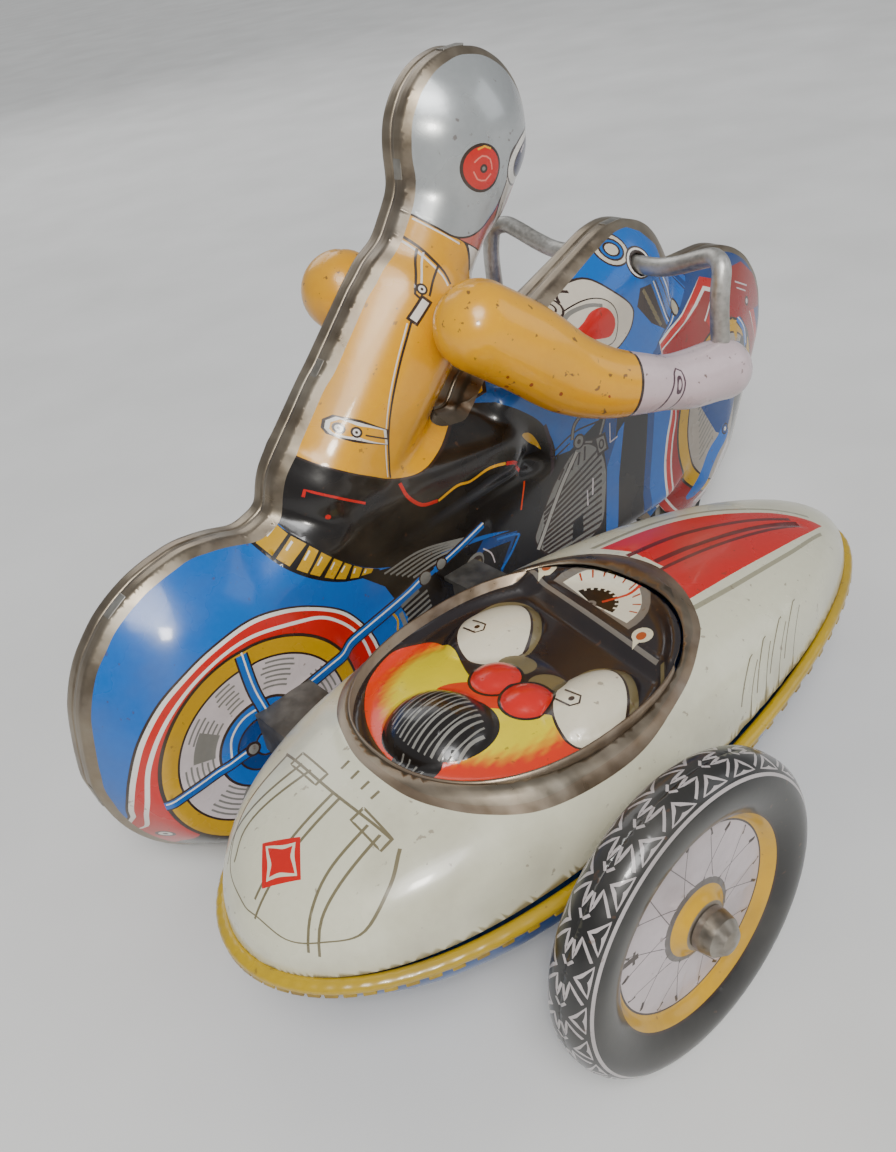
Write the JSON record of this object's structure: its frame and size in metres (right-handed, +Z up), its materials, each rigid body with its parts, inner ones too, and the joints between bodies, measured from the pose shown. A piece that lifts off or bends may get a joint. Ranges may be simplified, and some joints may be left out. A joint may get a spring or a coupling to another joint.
{
  "type": "wind-up toy motorcycle with sidecar",
  "caption": "Tin clockwork motorcycle toy with a moulded rider and a sidecar holding an embossed passenger; a side key winds a gear train that drives the rear rollers.",
  "frame": {"origin": "on the floor, in the plane where the motorcycle's two shell halves meet, between its wheels", "axes": "+X is the direction of travel, +Y is the rider's left, +Z is up"},
  "size_m": [0.1882, 0.1368, 0.1246],
  "materials": {
    "litho_body": "glossy lithographed tinplate, blue with printed details",
    "litho_arm": "glossy lithographed tinplate, yellow sleeve and pale glove",
    "steel_rod": "drawn wire, dull bright",
    "motor_steel": "stamped and turned steel",
    "spring_steel": "blued spring strip",
    "key_steel": "plated, worn",
    "brass": "stamped brass",
    "wheel_tin": "pressed tinplate",
    "tyre_rubber": "matt black",
    "strut_tin": "bare tinplate, aged",
    "litho_sidecar": "glossy lithographed tinplate, cream with red bonnet stripes",
    "litho_cockpit": "glossy lithographed tinplate, printed passenger",
    "litho_pan": "glossy lithographed tinplate, blue with a yellow rolled rim",
    "litho_wheel": "glossy lithographed tinplate, printed tread and spokes"
  },
  "bodies": {
    "root": {"body_shell_right": "litho_body", "body_shell_left": "litho_body", "right_arm_outer": "litho_arm", "right_arm_inner": "litho_arm", "left_arm_outer": "litho_arm", "left_arm_inner": "litho_arm", "handlebar": "steel_rod", "motor_plate_right": "motor_steel", "motor_plate_left": "motor_steel", "motor_pillars": "motor_steel", "mainspring": "spring_steel", "key_eyelet": "brass", "front_bracket": "strut_tin", "front_strap": "strut_tin", "bracket_rivet": "motor_steel", "front_axle": "motor_steel", "sidecar_upper": "litho_sidecar", "cockpit_plate": "litho_cockpit", "sidecar_pan": "litho_pan", "rear_strut": "strut_tin", "front_strut": "strut_tin", "strut_rivets": "strut_tin", "sidecar_axle": "steel_rod", "axle_washers": "steel_rod", "axle_cap": "steel_rod"},
    "great_wheel": {"great_gear": "brass", "click_rivet": "motor_steel"},
    "arbor": {"winding_arbor": "motor_steel", "winding_key": "key_steel", "ratchet_wheel": "motor_steel"},
    "click_pawl": {"click": "brass"},
    "intermediate": {"intermediate_arbor": "motor_steel", "intermediate_pinion": "motor_steel", "intermediate_gear": "brass"},
    "drive": {"drive_axle": "motor_steel", "drive_pinion": "motor_steel", "drive_wheel_right": "wheel_tin", "drive_wheel_left": "wheel_tin", "drive_tyre_right": "tyre_rubber", "drive_tyre_left": "tyre_rubber"},
    "front_roller": {"front_wheel": "wheel_tin", "front_tyre": "tyre_rubber"},
    "sidecar_wheel": {"sidecar_wheel_outer": "litho_wheel", "sidecar_wheel_inner": "litho_wheel"}
  },
  "joints": [
    {"name": "drive_spin", "type": "hinge", "parent": "root", "child": "drive", "pos_m": [-0.062, 0, 0.012], "axis": [0, 1, 0], "continuous": true},
    {"name": "intermediate_spin", "type": "hinge", "parent": "root", "child": "intermediate", "pos_m": [-0.05409, 0, 0.0233], "axis": [0, 1, 0], "continuous": true},
    {"name": "great_gear_spin", "type": "hinge", "parent": "root", "child": "great_wheel", "pos_m": [-0.03983, 0, 0.03329], "axis": [0, 1, 0], "continuous": true},
    {"name": "key_wind", "type": "hinge", "parent": "great_wheel", "child": "arbor", "pos_m": [-0.03983, 0, 0.03329], "axis": [0, 1, 0], "continuous": true},
    {"name": "click_lift", "type": "hinge", "parent": "great_wheel", "child": "click_pawl", "pos_m": [-0.03542, 0, 0.02499], "axis": [0, 1, 0], "range_deg": [0, 12], "stiffness_Nm_per_rad": 0.0005, "springref_deg": -17.19},
    {"name": "front_wheel_spin", "type": "hinge", "parent": "root", "child": "front_roller", "pos_m": [0.059, 0, 0.01], "axis": [0, 1, 0], "continuous": true},
    {"name": "sidecar_wheel_spin", "type": "hinge", "parent": "root", "child": "sidecar_wheel", "pos_m": [-0.0455, -0.091, 0.0248], "axis": [0, 1, 0], "continuous": true}
  ],
  "couplings": [
    {"joint": "intermediate_spin", "follows": "drive_spin", "ratio": -0.27778},
    {"joint": "great_gear_spin", "follows": "drive_spin", "ratio": 0.05787}
  ]
}
